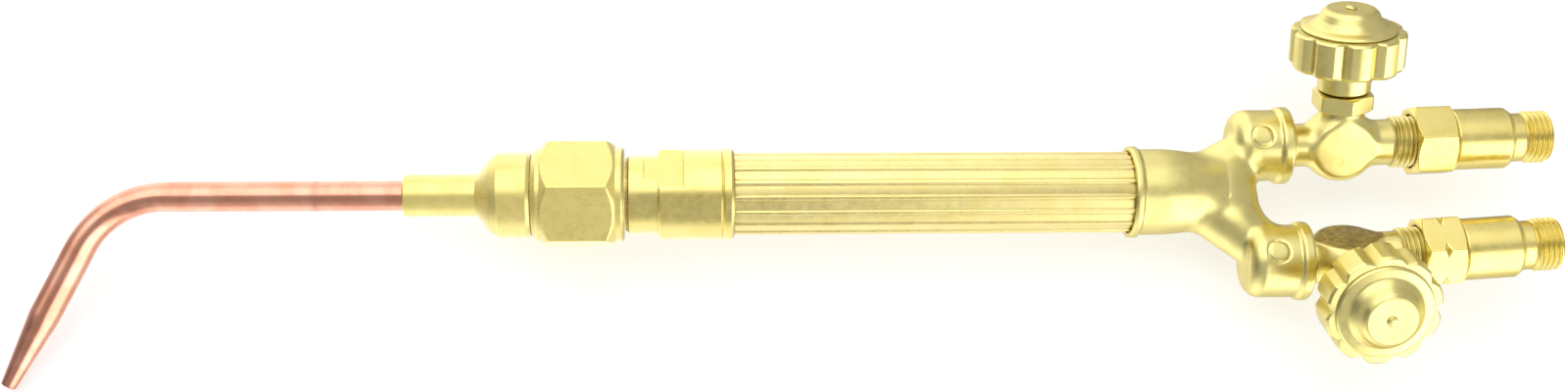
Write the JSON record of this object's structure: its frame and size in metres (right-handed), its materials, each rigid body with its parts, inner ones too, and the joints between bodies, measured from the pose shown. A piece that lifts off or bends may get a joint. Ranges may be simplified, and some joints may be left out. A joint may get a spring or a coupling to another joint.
{
  "type": "lampwork torch",
  "caption": "Brass oxy-fuel hand torch with a bent copper tip on a coupling nut, a fluted grip, a forked end with needle valves, and check valves with hose threads.",
  "frame": {"origin": "on the handle's axis, halfway along the fluted grip", "axes": "+X along the handle from the tip towards the hoses, +Z square to the fork's plane on the handwheel side, +Y on the oxygen side"},
  "size_m": [0.4164, 0.1001, 0.0529],
  "materials": {
    "machined_brass": "machined satin",
    "grip_brass": "drawn and brushed along its length",
    "forged_brass": "forged and tumbled, satin",
    "check_brass": "bright machined",
    "inner_brass": "machined",
    "copper": "drawn copper, polished",
    "steel": "turned stainless",
    "rubber": "moulded, matte",
    "sealing_plastic": "matte",
    "sintered_bronze": "sintered grains"
  },
  "bodies": {
    "root": {"handle_head": "machined_brass", "grip_tube": "grip_brass", "oxygen_tube": "inner_brass", "fork_body": "forged_brass", "oxygen_valve_body": "forged_brass", "oxygen_packing_nut": "forged_brass", "oxygen_packing_ring": "sealing_plastic", "oxygen_gland_washer": "steel", "fuel_valve_body": "forged_brass", "fuel_packing_nut": "forged_brass", "fuel_packing_ring": "sealing_plastic", "fuel_gland_washer": "steel"},
    "mixer": {"mixer_body": "inner_brass", "mixer_ring_front": "rubber", "mixer_ring_rear": "rubber"},
    "nozzle": {"nozzle_hub": "machined_brass", "copper_tip": "copper"},
    "coupling_nut": {"coupling_nut": "machined_brass"},
    "oxygen_stem": {"oxygen_needle_stem": "steel"},
    "oxygen_knob": {"oxygen_handwheel": "forged_brass", "oxygen_knob_cap": "forged_brass", "oxygen_knob_rivet": "forged_brass"},
    "oxygen_check": {"oxygen_union_nipple": "inner_brass", "oxygen_check_body": "check_brass", "oxygen_check_inlet": "check_brass", "oxygen_seat_ring": "rubber", "oxygen_check_filter": "sintered_bronze", "oxygen_check_spring": "steel"},
    "oxygen_union": {"oxygen_union_nut": "check_brass"},
    "oxygen_poppet": {"oxygen_check_poppet": "steel"},
    "fuel_stem": {"fuel_needle_stem": "steel"},
    "fuel_knob": {"fuel_handwheel": "forged_brass", "fuel_knob_cap": "forged_brass", "fuel_knob_rivet": "forged_brass"},
    "fuel_check": {"fuel_union_nipple": "inner_brass", "fuel_check_body": "check_brass", "fuel_check_inlet": "check_brass", "fuel_seat_ring": "rubber", "fuel_check_filter": "sintered_bronze", "fuel_check_spring": "steel"},
    "fuel_union": {"fuel_union_nut": "check_brass"},
    "fuel_poppet": {"fuel_check_poppet": "steel"}
  },
  "joints": [
    {"name": "nozzle_travel", "type": "slide", "parent": "root", "child": "mixer", "axis": [-1, 0, 0], "range_m": [0, 0.00847]},
    {"name": "tip_aim", "type": "hinge", "parent": "mixer", "child": "nozzle", "pos_m": [-0.1072, 0, 0], "axis": [1, 0, 0], "continuous": true},
    {"name": "coupling_nut_turn", "type": "hinge", "parent": "mixer", "child": "coupling_nut", "pos_m": [-0.095, 0, 0], "axis": [-1, 0, 0], "range_deg": [0, 2160.5]},
    {"name": "oxygen_stem_travel", "type": "slide", "parent": "root", "child": "oxygen_stem", "axis": [-0.0431, 0.7483, 0.6619], "range_m": [0, 0.002]},
    {"name": "oxygen_knob_turn", "type": "hinge", "parent": "oxygen_stem", "child": "oxygen_knob", "pos_m": [0.1132, 0.01352, 0.00068], "axis": [-0.0431, 0.7483, 0.6619], "range_deg": [0, 720.5]},
    {"name": "oxygen_check_travel", "type": "slide", "parent": "root", "child": "oxygen_check", "axis": [0.9988, 0.0174, 0.0454], "range_m": [0, 0.00423]},
    {"name": "oxygen_union_turn", "type": "hinge", "parent": "oxygen_check", "child": "oxygen_union", "pos_m": [0.13787, 0.01395, 0.0018], "axis": [0.9988, 0.0174, 0.0454], "range_deg": [0, 1080.5]},
    {"name": "oxygen_poppet_travel", "type": "slide", "parent": "oxygen_check", "child": "oxygen_poppet", "axis": [-0.9988, -0.0174, -0.0454], "range_m": [0, 0.0015], "stiffness_N_per_m": 120, "springref_m": -0.003, "deforming": ["oxygen_check_spring"]},
    {"name": "fuel_stem_travel", "type": "slide", "parent": "root", "child": "fuel_stem", "axis": [-0.0148, -0.6587, 0.7522], "range_m": [0, 0.002]},
    {"name": "fuel_knob_turn", "type": "hinge", "parent": "fuel_stem", "child": "fuel_knob", "pos_m": [0.1112, -0.01905, 0.0006], "axis": [-0.0148, -0.6587, 0.7522], "range_deg": [0, 720.5]},
    {"name": "fuel_check_travel", "type": "slide", "parent": "root", "child": "fuel_check", "axis": [0.9972, 0.0453, 0.0593], "range_m": [0, 0.00423]},
    {"name": "fuel_union_turn", "type": "hinge", "parent": "fuel_check", "child": "fuel_union", "pos_m": [0.13583, -0.01793, 0.00206], "axis": [-0.9972, -0.0453, -0.0593], "range_deg": [0, 1080.5]},
    {"name": "fuel_poppet_travel", "type": "slide", "parent": "fuel_check", "child": "fuel_poppet", "axis": [-0.9972, -0.0453, -0.0593], "range_m": [0, 0.0015], "stiffness_N_per_m": 120, "springref_m": -0.003, "deforming": ["fuel_check_spring"]}
  ],
  "couplings": [
    {"joint": "coupling_nut_turn", "follows": "nozzle_travel", "rad_per_m": 4452.7},
    {"joint": "oxygen_knob_turn", "follows": "oxygen_stem_travel", "rad_per_m": 6283.2},
    {"joint": "oxygen_union_turn", "follows": "oxygen_check_travel", "rad_per_m": 4452.7},
    {"joint": "fuel_knob_turn", "follows": "fuel_stem_travel", "rad_per_m": 6283.2},
    {"joint": "fuel_union_turn", "follows": "fuel_check_travel", "rad_per_m": 4452.7}
  ]
}
